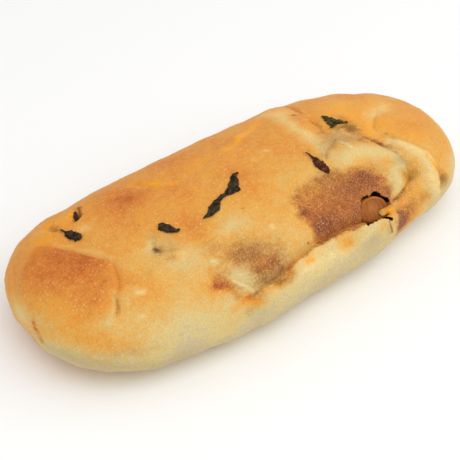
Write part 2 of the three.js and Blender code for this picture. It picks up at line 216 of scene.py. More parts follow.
def roll_point(x, turn):
    """Plain form: y and z are powers of the cosine and sine of the turn, and z stops at 0."""
    x = np.asarray(x, float) + 0 * turn
    side, up = np.cos(np.radians(turn)), np.sin(np.radians(turn))
    middle = BEND * (1 - (x / (LENGTH / 2)) ** 2)
    y = middle + half_width(x, side) * np.sign(side) * np.abs(side) ** SIDE_ROUND
    above = WAIST_HEIGHT + (HEIGHT - WAIST_HEIGHT) * fullness(x) * np.abs(up) ** TOP_ROUND
    below = WAIST_HEIGHT * (1 - UNDERSIDE_DROP * fullness(x) * np.abs(up) ** BOTTOM_ROUND)
    return np.stack([x, y, np.maximum(np.where(up >= 0, above, below), 0)], -1)


def roll_slopes(x, turn):
    """Central differences of the plain form: along x per mm, and round it per degree."""
    step, turn_step = 0.05, 0.2
    x = np.clip(x, -LENGTH / 2 + 2 * step, LENGTH / 2 - 2 * step)
    along = (roll_point(x + step, turn) - roll_point(x - step, turn)) / (2 * step)
    round_it = (roll_point(x, turn + turn_step) - roll_point(x, turn - turn_step)) / (2 * turn_step)
    return along, round_it


def unit(vectors):
    """Each vector over its own length."""
    return vectors / np.maximum(np.linalg.norm(vectors, axis=-1, keepdims=True), 1e-9)


def roll_normal(x, turn):
    """Unit cross product of the two slopes, pointing out."""
    along, round_it = roll_slopes(x, turn)
    return unit(np.cross(round_it, along))


def track_over_roll(places, steps=160):
    """Catmull-Rom curve through the places in (x, turn), laid on the plain form."""
    p = np.array(places, float)
    p = np.vstack([2 * p[0] - p[1], p, 2 * p[-1] - p[-2]])
    s = np.linspace(0, len(places) - 1, steps)
    i = np.minimum(s.astype(int), len(places) - 2)
    f = (s - i)[:, None]
    a, b, c, d = p[i], p[i + 1], p[i + 2], p[i + 3]
    chart = b + 0.5 * f * (c - a + f * (2 * a - 5 * b + 4 * c - d + f * (3 * (b - c) + d - a)))
    at = roll_point(chart[:, 0], chart[:, 1])
    ahead = unit(np.gradient(at, axis=0))
    left = unit(np.cross(roll_normal(chart[:, 0], chart[:, 1]), ahead))
    return {"chart": chart, "at": at, "ahead": ahead, "left": left}


def beside_track(track, points, fade=0.0):
    """Signed distance to the left of the nearest point of a track, how much the track is felt, and
    which point that is. It fades over a share of its length at both ends, and beyond them."""
    at = track["at"]
    squares = (points ** 2).sum(-1)[:, None] + (at ** 2).sum(-1) - 2 * points @ at.T
    nearest = squares.argmin(1)
    offset = points - at[nearest]
    past = (offset * track["ahead"][nearest]).sum(-1)
    side = np.sign((offset * track["left"][nearest]).sum(-1))
    left = side * np.sqrt(np.maximum((offset ** 2).sum(-1) - past ** 2, 0))
    share = nearest / (len(at) - 1)
    ends = smooth(share / fade) * smooth((1 - share) / fade) if fade else 1.0
    return left, ends * bump(past, 0, TRACK_CALM), nearest


def rough(points, wavelength, seed, waves=9):
    """Even, seeded roughness from -1 to 1: the mean of sine waves in random directions."""
    rng = np.random.default_rng(seed)
    directions = unit(rng.normal(size=(waves, 3))) * (2 * np.pi / wavelength)
    directions *= rng.uniform(0.7, 1.4, (waves, 1))
    phases = rng.uniform(0, 2 * np.pi, waves)
    return np.sin(points @ directions.T + phases).sum(-1) / math.sqrt(waves)


lip_tracks = [(track_over_roll(lip[0]), *lip[1:]) for lip in LIPS]
ridge_tracks = [(track_over_roll(ridge[0]), *ridge[1:]) for ridge in RIDGES]
seam_tracks = [(track_over_roll(seam[0]), *seam[1:3]) for seam in SEAMS.values()]


def crust_point(x, turn):
    """The plain form, raised along its normal by every lip, ridge, hollow, seam and unevenness.
    A lip's rolled edge also leans over its crease, against the direction to its left."""
    x, turn = np.broadcast_arrays(np.asarray(x, float), np.asarray(turn, float))
    shape, x, turn = x.shape, x.ravel(), turn.ravel()
    plain = roll_point(x, turn)
    rise = np.zeros(len(plain))
    lean = np.zeros_like(plain)
    for track, height, edge, reach, crease, width, overhang, fade in lip_tracks:
        left, felt, nearest = beside_track(track, plain, fade)
        rolled = np.sqrt(1 - (1 - np.clip(left / edge, 0, 1)) ** 2)
        dying = bump(np.maximum(left, 0), 0, reach)
        beyond = bump(np.minimum(left, 0), 0, width)
        rise += felt * (height * rolled * dying - crease * (1 - rolled) * beyond)
        leaning = overhang * felt * bump(left, 0.5 * edge, 0.6 * edge)
        lean -= leaning[:, None] * track["left"][nearest]
    for track, height, width, fade in ridge_tracks:
        left, felt = beside_track(track, plain, fade)[:2]
        rise += felt * height * bump(left, 0, width)
    for track, depth, width in seam_tracks:
        left, felt = beside_track(track, plain, SEAM_FADE)[:2]
        rise -= felt * depth * bump(left, 0, width)
    rise *= smooth((LENGTH / 2 - np.abs(x)) / TIP_CALM)
    rise += sum(size * rough(plain, wave, seed) for seed, (size, wave) in enumerate(UNEVEN, 1))
    crust = plain + lean + rise[:, None] * roll_normal(x, turn)
    crust[:, 2] = np.maximum(crust[:, 2], 0)
    return crust.reshape(shape + (3,))


def spaced(zones):
    """Evenly spaced values in each zone, without its last one."""
    return np.concatenate([np.linspace(a, b, count, endpoint=False) for a, b, count in zones])


def rows_along_roll():
    """Rows that crowd towards the two tips by a power, so that the rounding keeps its shape."""
    share = np.arange(1, TIP_ROWS + 1) / (TIP_ROWS + 1)
    tip = LENGTH / 2 - TIP_LENGTH * share ** TIP_CROWDING
    return np.concatenate([-tip, spaced(ROW_ZONES), [LENGTH / 2 - TIP_LENGTH], tip[::-1]])


def skin(name, first, rings, last):
    """A closed mesh object over rows of points (row, column, xyz), with one point at each end.
    Points are in mm in the roll's own frame, and columns close round."""
    rows, columns = rings.shape[:2]
    points = np.vstack([first, rings.reshape(-1, 3), last])
    index = 1 + np.arange(rows * columns).reshape(rows, columns)
    after = np.roll(index, -1, axis=1)
    quads = np.stack([index[:-1], after[:-1], after[1:], index[1:]], -1).reshape(-1, 4)
    end = len(points) - 1
    caps = [(0, b, a) for a, b in zip(index[0], after[0])]
    caps += [(end, a, b) for a, b in zip(index[-1], after[-1])]
    mesh = bpy.data.meshes.new(name)
    mesh.from_pydata(((points + ROLL_AT) * MM).tolist(), [], quads.tolist() + caps)
    mesh.polygons.foreach_set("use_smooth", np.ones(len(mesh.polygons), bool))
    piece = bpy.data.objects.new(name, mesh)
    bpy.context.collection.objects.link(piece)
    return piece


def note(piece, name, values):
    """Keeps one number for each vertex of a piece, which the boolean carries along."""
    kept = piece.data.attributes.new(name, "FLOAT", "POINT")
    kept.data.foreach_set("value", np.asarray(values, np.float32))


def noted(piece, name):
    """The numbers that were kept under a name, one for each vertex."""
    values = np.zeros(len(piece.data.vertices), np.float32)
    piece.data.attributes[name].data.foreach_get("value", values)
    return values.astype(float)


def places_of(piece):
    """Vertices in mm in the roll's own frame."""
    at = np.zeros(len(piece.data.vertices) * 3, np.float32)
    piece.data.vertices.foreach_get("co", at)
    return at.reshape(-1, 3).astype(float) / MM - ROLL_AT


# The filling's core gives the place of the roll in the frame: both share x and the far side
CORE_HALF_LENGTH, CORE_HALF_WIDTH, CORE_HALF_HEIGHT, CORE_MIDDLE = 76.0, 30.0, 13.0, 20.5
CORE_ROWS, CORE_COLUMNS = 40, 48


def core_point(share, turn, grown):
    """The roll's own form drawn in: each axis scaled to the core's half size plus a clearance."""
    outer = roll_point(share * LENGTH / 2, turn)
    x = outer[..., 0] * (CORE_HALF_LENGTH + grown) / (LENGTH / 2)
    y = outer[..., 1] * (CORE_HALF_WIDTH + grown) / (WIDTH / 2)
    z = CORE_MIDDLE + (outer[..., 2] - HEIGHT / 2) * (CORE_HALF_HEIGHT + grown) / (HEIGHT / 2)
    return np.stack([x, y, z], -1)


core_low, core_high = [np.array(corner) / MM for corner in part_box("filling")]
core_far = core_point(np.linspace(-0.99, 0.99, 199), 0.0, 0)[:, 1].max()
ROLL_AT = np.array([(core_low[0] + core_high[0]) / 2, core_high[1] - core_far, 0])

# The tear, in its own plane: mm across and up from its middle
TEAR_X, TEAR_TURN = 30.5, 152.5
CUT_ABOVE, CUT_BELOW = 6.0, 15.0
TEAR_EDGE = [
    (-4.1, 5.6), (-2.9, 6), (-2, 5.8), (-0.6, 5.7), (-0.7, 5), (0.6, 4.9), (1.1, 5.1), (2.3, 5.4),
    (3.4, 5.3), (4.5, 4.8), (5.6, 3.6), (5.6, 2.6), (6.8, 1.3), (7.9, 0.5), (7.9, -0.7), (8, -2.1),
    (6, -2), (3.5, -1.7), (0.9, -1.4), (-0.4, -1.4), (-0.2, -2.3), (0.8, -3.3), (1.4, -3.7),
    (1.9, -4.3), (3.2, -5), (4.3, -6.2), (4.2, -7.2), (3.2, -6.6), (2.4, -5.8), (1.1, -4.9),
    (0.1, -4.4), (-2.7, -3.9), (-4.3, -3.6), (-5.6, -3.6), (-6.9, -3.2), (-8.2, -3.4), (-8.6, -2.8),
    (-8, -2), (-7.8, -0.4), (-7.3, 1.8), (-6.5, 3.2), (-5.2, 4.5),
]
TEAR_RAG, TEAR_STEPS = 0.16, 5
PLUG_MIDDLE = (-2.0, 1.5)
CLEARANCE, SOCKET_CLEARANCE = 0.4, 0.25
SHARP_EDGE = math.radians(50)
# The dome of filling under the tear, and its rings as shares of its size
BULGE_ACROSS, BULGE_UP, BULGE_DEEP = 8.6, 5.7, 14.0
BULGE_LEAN = math.radians(-12)
BULGE_AT, BULGE_SUNK, BULGE_SQUARE, BULGE_CROWN = (-0.2, -0.5), 0.7, 24, 0.016
BULGE_COLUMNS = 72
BULGE_RINGS = (1, 0.993, 0.982, 0.965, 0.945, 0.92, 0.88, 0.82, 0.72, 0.55, 0.35, 0.15)
SOCKET_RINGS = (1, 0.99, 0.975, 0.955, 0.93, 0.9, 0.85, 0.75, 0.5, 0.25)

tear_out = roll_normal(np.array([TEAR_X]), np.array([TEAR_TURN]))[0]
tear_across = unit(roll_slopes(np.array([TEAR_X]), np.array([TEAR_TURN]))[0][0])
tear_up = unit(np.cross(tear_out, tear_across))
tear_middle = roll_point(TEAR_X, TEAR_TURN)


def in_tear_plane(across, up, out):
    """From the plane of the tear to the roll's frame: middle + across, up and out directions."""
    return (tear_middle + np.asarray(across)[..., None] * tear_across
            + np.asarray(up)[..., None] * tear_up + np.asarray(out)[..., None] * tear_out)


def from_tear_plane(at):
    """The other way: how far across, up and out of the tear's middle places of the roll lie."""
    return [(at - tear_middle) @ direction for direction in (tear_across, tear_up, tear_out)]


def core_skin(name, grown):
    """The core as a closed mesh, its rows placed by a cosine so that they crowd at both ends."""
    share = -np.cos(np.pi * np.arange(1, CORE_ROWS + 1) / (CORE_ROWS + 1))
    turn = np.arange(CORE_COLUMNS) * 360 / CORE_COLUMNS
    rings = core_point(share[:, None], turn[None, :], grown)
    return skin(name, core_point(-1.0, 90.0, grown), rings, core_point(1.0, 90.0, grown))


def bulge_skin(name, grown, shares):
    """An oval pillow in the tear's plane: height is 1 - share^square of its depth, less a crown
    times the square of how far up it is, and the oval is turned by its lean."""
    angle = np.arange(BULGE_COLUMNS) * 2 * np.pi / BULGE_COLUMNS
    share = np.array(shares)[:, None]
    a = (BULGE_ACROSS + grown) * share * np.cos(angle)
    b = (BULGE_UP + grown) * share * np.sin(angle)
    across = BULGE_AT[0] + a * math.cos(BULGE_LEAN) - b * math.sin(BULGE_LEAN)
    up = BULGE_AT[1] + a * math.sin(BULGE_LEAN) + b * math.cos(BULGE_LEAN)
    height = (BULGE_DEEP + grown) * (1 - share ** BULGE_SQUARE) + 0 * angle
    out = height - BULGE_DEEP - BULGE_SUNK - BULGE_CROWN * b ** 2
    return skin(name, in_tear_plane(*BULGE_AT, -BULGE_DEEP - BULGE_SUNK),
                in_tear_plane(across, up, out), in_tear_plane(*BULGE_AT, grown - BULGE_SUNK))


def tear_cutter(name):
    """The torn outline, cut into short ragged steps and drawn out into a straight-sided plug."""
    edge = np.array(TEAR_EDGE)[::-1]
    share = np.arange(TEAR_STEPS)[:, None] / TEAR_STEPS
    outline = np.concatenate([a + (b - a) * share for a, b in zip(edge, np.roll(edge, -1, axis=0))])
    rng = np.random.default_rng(7)
    outline += rng.normal(0, TEAR_RAG / 2, outline.shape)
    levels = np.linspace(-CUT_BELOW, CUT_ABOVE, 4)[:, None]
    rings = in_tear_plane(outline[None, :, 0] + 0 * levels, outline[None, :, 1] + 0 * levels,
                          levels + 0 * outline[None, :, 0])
    return skin(name, in_tear_plane(*PLUG_MIDDLE, -CUT_BELOW), rings,
                in_tear_plane(*PLUG_MIDDLE, CUT_ABOVE))


def joined(piece, *others, operation):
    """Applies a boolean of the piece with each other mesh, which is then removed."""
    for other in others:
        step = piece.modifiers.new("boolean", "BOOLEAN")
        step.solver = "MANIFOLD"
        step.operation = operation
        step.object = other
    graph = bpy.context.evaluated_depsgraph_get()
    plain = piece.data
    piece.data = bpy.data.meshes.new_from_object(piece.evaluated_get(graph))
    piece.modifiers.clear()
    bpy.data.meshes.remove(plain)
    for other in others:
        bpy.data.objects.remove(other)
    piece.data.polygons.foreach_set("use_smooth", np.ones(len(piece.data.polygons), bool))
    piece.data.polygons.foreach_set("material_index", np.zeros(len(piece.data.polygons), int))
    piece.data.set_sharp_from_angle(angle=SHARP_EDGE)
    return piece


grid_x, grid_turn = np.meshgrid(rows_along_roll(), spaced(TURN_ZONES), indexing="ij")
dough = skin("dough_crust", crust_point(-LENGTH / 2, 90.0), crust_point(grid_x, grid_turn),
             crust_point(LENGTH / 2, 90.0))
note(dough, "outside", np.ones(grid_x.size + 2))
note(dough, "x", np.concatenate([[-LENGTH / 2], grid_x.ravel(), [LENGTH / 2]]))
note(dough, "turn", np.concatenate([[90], grid_turn.ravel(), [90]]))
hollow = core_skin("hollow", CLEARANCE)
socket = bulge_skin("socket", SOCKET_CLEARANCE, SOCKET_RINGS)
joined(dough, hollow, socket, tear_cutter("torn plug"), operation="DIFFERENCE")


# ---- Dough: its colours ----
# Baked crust, pale in the folds, brown round the tear and charred, with painted shade, in and along it,
# with oil soaked in and greyish patches.
# A patch is x in mm, turn in degrees, its reach in mm and in degrees, the amount, and where it
# lies askew also its slope in degrees per mm.
MM_PER_DEGREE = 0.68


def patches(x, turn, items):
    """Sum of Gaussians, each sheared by its slope where it has one."""
    total = np.zeros_like(x)
    for at_x, at_turn, reach_x, reach_turn, amount, *slope in items:
        across = turn - at_turn - sum(slope) * (x - at_x)
        total += amount * np.exp(-((x - at_x) / reach_x) ** 2 - (across / reach_turn) ** 2)
    return total


def from_edges(x, turn, outline, closed):
    """Distance in mm to an outline in the chart, negative inside a closed one (even-odd rule)."""
    p = np.stack([x, turn * MM_PER_DEGREE], -1)
    corners = np.array(outline, float) * (1, MM_PER_DEGREE)
    ahead = np.roll(corners, -1, axis=0)
    if not closed:
        corners, ahead = corners[:-1], ahead[:-1]
    nearest = np.full(len(p), 1e9)
    inside = np.zeros(len(p), bool)
    for a, b in zip(corners, ahead):
        edge = b - a
        share = np.clip(((p - a) @ edge) / (edge @ edge), 0, 1)
        nearest = np.minimum(nearest, np.linalg.norm(p - a - share[:, None] * edge, axis=-1))
        crosses = (a[1] > p[:, 1]) != (b[1] > p[:, 1])
        rise = edge[1] if edge[1] else 1e-9
        inside ^= crosses & (p[:, 0] < a[0] + edge[0] * (p[:, 1] - a[1]) / rise)
    return np.where(inside, -nearest, nearest) if closed else nearest


def area(x, turn, outline, soft):
    """1 inside an outline, 0 outside, over a soft edge given in mm."""
    return smooth(0.5 - from_edges(x, turn, outline, True) / soft)


def streak(x, turn, places, width):
    """Gaussian of the distance to a line of places."""
    return bump(from_edges(x, turn, places, False), 0, width)


# The crust's colour from unbaked to darkest, by how far it is baked
STOPS = [
    (0, "#c6b38c"), (0.1, "#d4be80"), (0.25, "#d8b572"), (0.38, "#dbab5c"), (0.5, "#dea048"),
    (0.62, "#dd943e"), (0.72, "#d78839"), (0.82, "#cd7831"), (0.91, "#bf682b"), (1, "#ae5826"),
]
# Round the roll: turn, and how far the plain crust is baked there. Then patches that add to it
BAKE_ROUND = [
    (0, 0.5), (30, 0.6), (45, 0.62), (55, 0.65), (65, 0.64), (75, 0.61), (85, 0.61), (95, 0.57),
    (105, 0.5), (115, 0.46), (125, 0.44), (135, 0.42), (142, 0.38), (150, 0.29), (157, 0.18),
    (165, 0.1), (175, 0.06), (190, 0), (215, 0.05), (240, 0.35), (300, 0.45), (360, 0.5),
]
BAKED = [
    (-46, 69, 9, 13, 0.16), (-14, 56, 12, 9, 0.05), (-58, 106, 8, 7, -0.1), (-47, 119, 8, 6, -0.16),
    (-45, 127, 6, 8, -0.12), (-36, 106, 6, 10, 0.22), (-24, 116, 9, 6, -0.2, 0.2),
    (4, 106, 9, 4, -0.07), (-7, 105, 4, 6, 0.16), (-7, 91, 4, 5, 0.14), (-62, 128, 5, 9, 0.16),
    (-8, 150, 9, 8, 0.12), (-86, 158, 9, 16, 0.2), (-62, 90, 7, 8, -0.04), (75, 75, 10, 14, -0.12),
    (57, 74, 6, 14, -0.1), (73, 112, 10, 12, 0.2), (76, 148, 10, 12, -0.02), (36, 62, 4, 6, -0.12),
    (45, 165, 14, 14, 0.4), (-45, 150, 6, 10, 0.1), (-66, 115, 3, 4, 0.12), (56, 160, 5, 10, 0.1),
    (14, 55, 9, 9, -0.06), (-80, 122, 6, 9, 0.12), (-78, 166, 9, 11, 0.15), (-74, 140, 8, 7, -0.06),
    (-34, 171, 3.5, 5, 0.3), (-40, 181, 3, 6, 0.14), (51, 147, 5, 7, 0.22), (50, 185, 11, 11, 0.48),
    (69, 166, 3, 12, 0.26), (76, 168, 8, 12, 0.1), (60, 58, 16, 10, -0.01), (-22, 148, 5, 6, 0.28),
    (-31, 167, 3, 6, 0.3, 1), (12, 164, 4, 5, 0.35), (-40, 175, 5, 8, 0.12), (64.5, 160, 2.5, 9, 0.32),
    (48.5, 130, 2.2, 5, 0.3, 0.4), (-88, 130, 5, 10, 0.08), (-84, 147, 5, 8, 0.1),
    (-80, 162, 6, 8, 0.1), (-72, 125, 3, 5, -0.1), (-52, 103, 3, 3.5, -0.22, -1), (-40, 75, 5, 8, 0.16),
    (8, 67, 6, 4, 0.12, -0.6), (58, 172, 5, 8, 0.15), (-34, 146, 3, 6, -0.2, 1), (43, 178, 5, 12, 0.25),
    (30, 112, 5, 4, -0.08), (80, 145, 8, 14, 0.12), (24, 170, 7, 6, -0.12), (38.5, 87, 2.5, 3, -0.12),
    (33.5, 107, 3, 3, -0.12), (-86, 130, 5, 6, 0.05), (-38.5, 130, 1.5, 2.5, -0.35),
    (-41, 146, 3.5, 6, 0.22), (-32, 147, 3, 6, -0.15, 0.8), (-6, 161.5, 2.2, 1.5, 0.35),
    (52, 50, 14, 6, 0.05), (29.5, 169, 2.2, 4, 0.22), (72, 160, 5, 14, 0.16),
]
# The folded-over flap on the left: its better baked area, and patches on it alone
FLAP_AREA = [
    (-88, 65), (-77, 63), (-73.5, 72), (-69, 85), (-65.5, 96), (-64.5, 102), (-67.5, 111), (-73, 119),
    (-76, 127), (-83, 131), (-88, 125), (-90, 100),
]
FLAP = [
    (-72, 94, 4.5, 8, 0.11, -0.5), (-76, 110, 4.5, 5, 0.06), (-80, 100, 3, 5, 0.04),
    (-83, 75, 4, 8, -0.05), (-95, 95, 2, 40, -0.14), (-91, 100, 3, 15, -0.06), (-83, 123, 7, 12, -0.12),
    (-85, 100, 6, 10, -0.1),
]
# Stains and greyish tints of the crust, in the order that they are mixed in
STAIN_COLOURS = {"cream": "#f4d896", "oil": "#f2a21c", "olive": "#9a6820", "greyish": "#ae925f",
                 "brown": "#854823"}
STAINS = {"cream": [
    (0, 166, 12, 5, 0.4), (3, 174, 12, 6, 0.26), (-9, 165, 4, 3, 0.25), (60, 91.5, 5, 3, 0.22, -0.6),
    (67, 90, 5, 3, 0.12), (35, 112, 8, 4.5, 0.1), (-33, 146, 2.6, 6, 0.6, 1), (35, 55, 3, 9, 0.2),
    (55, 72, 7, 10, 0.12), (70, 84, 7, 6, 0.15), (66, 137, 3, 5, 0.15), (-65.5, 125, 1.4, 2.2, 0.55),
    (-38.5, 130, 1.4, 2.2, 0.8), (9.5, 86, 1.1, 1.6, 0.45), (3, 88, 0.8, 1.2, 0.4),
    (-69, 141, 1.5, 2, 0.3), (-51, 106, 3.5, 5, 0.35), (-46, 116, 4, 3, 0.25), (-12.3, 129, 1.2, 2, 0.5),
    (-63, 74, 2, 3, 0.3, 0.5), (30, 88, 2.5, 5, 0.22), (36, 58, 4, 9, 0.28), (58, 55, 14, 7, 0.06),
    (38, 103, 2.5, 2.5, 0.3), (20, 166, 8, 3, 0.25), (66, 88, 8, 5, 0.18),
], "oil": [
    (-78, 62, 7, 10, 0.48), (50, 46, 34, 10, 0.42), (-60, 50, 8, 6, 0.2), (-66, 54, 5, 9, 0.55),
    (-60, 56, 3, 4, 0.4), (-71, 48, 4, 8, 0.3), (10, 66, 5, 3, 0.8, -0.6), (1, 72, 3, 3, 0.5, -0.6),
    (20, 61, 5, 3, 0.35, -0.6), (35, 55, 3, 8, 0.35), (58, 76, 8, 12, 0.2), (71, 84, 6, 6, 0.2),
    (-32, 70, 1.2, 9, 0.3, 1.4), (-14, 70, 10, 5, 0.25), (23, 57, 6, 6, 0.35), (55, 92, 6, 16, 0.5),
    (52, 75, 6, 10, 0.3), (51, 104, 2.5, 3, 0.65), (62, 100, 7, 5, 0.4), (68, 120, 5, 7, 0.35),
    (75, 104, 8, 8, 0.18), (70, 78, 10, 10, 0.22), (41, 62, 1.3, 6, 0.5, -0.8), (34, 83, 2.6, 3, 0.4),
    (67.5, 151, 2.2, 4, 0.7), (34.5, 163, 3, 4, 0.85), (36, 160, 3, 2.4, 0.5),
    (-17.5, 163, 4, 2.2, 0.35), (-31, 168, 3, 4, 0.45, 1), (-6, 160.5, 4, 1.8, 0.4),
    (12, 164, 4, 5, 0.6), (-60, 64, 8, 9, 0.2), (-10, 157, 3, 1.5, 0.4), (57, 141, 5, 6, 0.3),
    (-48.5, 116, 2.4, 1.6, 0.6, 0.5), (-88, 120, 4, 20, 0.2), (47, 81, 2.5, 4, 0.4),
    (38.5, 91, 2.5, 2.2, 0.5), (38.5, 87, 2.2, 3, 0.25), (-6, 161.5, 2, 1.3, 0.5),
], "olive": [
    (54, 132, 3.2, 12, 0.36), (14, 164, 5, 4, 0.15), (49, 88, 2.6, 5, 0.55), (47, 93, 2.4, 2.6, 0.7),
    (43, 91.5, 3, 2.4, 0.6), (52.5, 147, 4, 7, 0.66), (57, 146, 3, 5, 0.4), (33.2, 172, 1.2, 7, 0.4),
    (57, 115, 2, 3, 0.3, 1.2), (58, 172, 4, 8, 0.2), (-18, 164, 4, 2.4, 0.45),
    (-50, 103, 1.5, 3, 0.4, -1.5), (46, 157, 6, 3, 0.45), (-26, 153, 4, 6, 0.4),
    (-30, 164, 2.5, 4, 0.3, 1), (68.5, 164, 2.4, 10, 0.72), (-21, 163, 2.5, 2, 0.4),
    (-31, 160, 2.5, 2, 0.5), (51, 113, 1.2, 2.5, 0.6, 1.2), (-51.3, 108, 2, 2.4, 0.6),
    (-46, 113, 2.6, 1.6, 0.3, 0.5), (38, 91.5, 2.5, 1.8, 0.25, -0.4), (47.5, 95.5, 3, 2.6, 0.75),
    (45.5, 101, 3, 2.6, 0.4), (70, 167, 1.8, 5, 0.45), (48, 171, 2.5, 4, 0.3), (12, 163, 4, 4, 0.1),
# Greyish patches, and greyer and darker towards the bottom edge
], "greyish": [
    (-47.5, 109, 4, 5, 0.38), (-50, 100, 2, 4, 0.3, -1), (-39, 130, 1.6, 3, 0.15),
    (-33, 148, 3, 8, 0.2, 1.2), (-33, 174, 3, 4, 0.55), (35, 97, 6, 5, 0.6), (41, 102, 3.5, 4, 0.55),
    (24, 173, 7, 8, 0.34), (-76, 170, 8, 6, 0.3), (40, 95, 4, 3, 0.3), (63, 140, 2, 8, 0.15),
    (30, 112, 5, 4, 0.12), (70, 170, 3, 8, 0.35), (72, 178, 3, 6, 0.3), (-86, 185, 12, 12, 0.3),
    (-66, 192, 12, 7, 0.35), (-22, 157, 4, 4, 0.4), (53, 132, 3, 4, 0.3), (-92, 172, 4, 10, 0.1),
    (-86, 178, 8, 8, 0.1),
], "brown": [
    (-36, 122, 3.5, 5, 0.24), (-28, 135, 6.5, 7, 0.56, 0.2), (-21, 138, 5, 8, 0.34, 0.3),
    (-19.5, 148.5, 4.5, 5, 0.7), (-26, 149, 3.5, 5, 0.3), (-17, 157, 3.4, 4.5, 0.5),
    (-24, 156, 4.5, 4.5, 0.3), (-42, 143, 2.6, 3.4, 0.3), (-38, 152, 2.2, 7, 0.2, 1.6),
    (-38.5, 149, 2.2, 7, 0.16, 1.6), (-36.5, 156, 2, 3, 0.14), (-31, 161, 3, 2.5, 0.3),
    (1.5, 132, 2, 2.6, 0.62), (3.3, 119.5, 1.2, 1.6, 0.35), (46.5, 95.5, 2.2, 2.6, 0.3),
    (46.5, 107, 2.6, 2.4, 0.4), (50.5, 114, 1.3, 4, 0.35, 1.2), (26, 103, 3, 2.2, 0.3, -0.9),
    (22, 101, 1.6, 5, 0.3), (42.5, 179, 3.4, 9, 0.7), (47.5, 178, 4, 8, 0.45), (39, 172, 2, 7, 0.45),
    (51, 170, 3, 10, 0.15), (69, 168, 1.6, 9, 0.15), (-36, 108, 5, 6, 0.1), (-21, 162.5, 2.5, 2, 0.3),
    (40, 148, 2.5, 8, 0.35), (43, 157, 3, 2, 0.15), (36, 90, 2, 1.2, 0.2, -0.4), (-27, 128, 6, 5, 0.16),
    (-27, 146, 4.5, 7, 0.28), (-15, 146, 4, 10, 0.28), (-39, 142, 3, 8, 0.22), (34, 129, 4, 7, 0.26),
    (24, 133, 4, 4, 0.1), (6, 144, 5, 4, 0.22), (-27, 137, 5, 6, 0.1), (-39, 141, 3, 5, 0.16),
    (-18, 163, 4, 2.4, 0.2), (41, 172, 3.5, 10, 0.4), (42, 184, 4, 8, 0.3), (48, 99, 2.5, 4, 0.25),
    (30, 97, 3, 2, 0.2, -0.8), (-49.5, 116, 1.6, 1.8, 0.4), (-51.3, 107.5, 1.2, 1.8, 0.3),
    (-66, 117, 2, 3, 0.1), (57, 172, 4, 8, 0.1), (-24.5, 160.5, 4, 1.6, 0.3),
    (-29.5, 161, 1.6, 1.5, 0.4), (67.5, 171, 2.2, 6, 0.28), (-51, 111, 3, 5, 0.1), (39, 129, 3, 5, 0.24),
    (43, 133, 4, 9, 0.12), (57, 137, 3, 4, 0.2), (45, 100, 3, 4, 0.1), (51.5, 115, 1.6, 4, 0.3, 1.2),
]}
# The dark brown area above and beside the tear, and where it is lighter or darker
BROWN_AREA = [
    (1, 121), (6, 116), (13, 115), (19, 113), (25, 115), (28, 121), (33, 121), (37, 126), (39, 132),
    (41, 137), (42, 145), (40, 152), (38, 158), (22, 158.5), (10, 157.5), (1.5, 157), (1, 148),
    (2, 140), (0, 132),
]
BROWN_DEEPER = [
    (8, 121, 8, 7, -0.24), (22, 143, 4, 4, -0.12), (16, 152, 6, 3, -0.1), (8, 130, 6, 5, -0.16),
    (26, 128, 6, 6, 0.14), (34, 126, 4, 4, 0.1), (6.5, 145, 4, 4, 0.34), (14, 150, 9, 6, 0.14),
    (24, 149, 4, 6, 0.26), (40, 142, 3.5, 10, -0.24), (0, 140, 2, 16, -0.2), (17, 139, 5, 3, -0.06),
]
# Pale streaks along folds, with painted highlights on the left flap's edge and the crest left of the lip:
# places, width, how much the bake is lowered, how much more cream. A negative number raises the bake
PALE = {
    # Painted highlight: a pale rim along the edge of the left flap
    "painted highlight beyond the left flap": (
        [(-74.5, 70), (-71, 80), (-68, 89), (-65.6, 98), (-65.5, 105)], 0.9, 0.06, 0.14),
    "beside the pinch": ([(-72, 119), (-76, 130), (-78.5, 138)], 1, 0.1, 0.15),
    "inner fold": (
        [(31, 113), (35, 112), (42, 114), (47, 120), (51, 129), (49, 135), (46, 141),
         (44.5, 147)], 3.6, 0.27, 0.1),
    "outer fold": (
        [(56, 115), (60, 121), (63, 130), (65, 139), (64, 148), (63.5, 158), (63, 170),
         (62.5, 180)], 2.1, 0.24, 0.42),
    "stripe on top": (
        [(32, 50), (31.5, 66), (30.5, 74), (30, 84), (29.5, 92), (28.5, 102)], 3.2, 0.24, 0.24),
    "under the lip": ([(-39, 165), (-33, 161), (-27, 163), (-21, 164), (-15, 161)], 2.6, -0.34, 0),
    # Darker along the crease under the lip: partly its own browning, partly painted shade
    "lip line": ([(-14, 159), (-9, 157.3), (4, 157), (15, 157.5), (23, 159.5)], 0.8, -0.3, 0),
    "beside the right flap": (
        [(55, 104), (56, 99), (60.5, 93.5), (66, 89.5), (74, 86)], 2.2, 0.14, 0.14),
    "seam at the far right": ([(43, 44), (41.5, 56), (40, 68)], 1, -0.35, 0),
    "streak by the right leaf": ([(30, 101), (34, 97.5), (38, 95.5)], 0.7, 0.1, 0.35),
    "streak on the right": ([(42, 97), (43.5, 99), (44.5, 102)], 0.6, 0.1, 0.45),
    "streak between": ([(37, 99), (38, 103), (37.5, 106.5)], 0.8, 0.1, 0.5),
    "streak under the leaf": ([(39.5, 92), (39.5, 96)], 0.7, 0.1, 0.4),
    # A painted highlight along the crest at the left of the lip
    "crest at the left of the lip": ([(-36, 147), (-33, 155), (-30.2, 163.5)], 0.7, 0.15, 0.5),
    "slope at the left of the lip": (
        [(-42, 143), (-39, 151), (-36, 158), (-32.5, 165), (-30, 169)], 2.2, -0.26, 0),
    "valley": ([(52, 122), (54, 128), (51, 134)], 2.6, 0.2, 0),
}
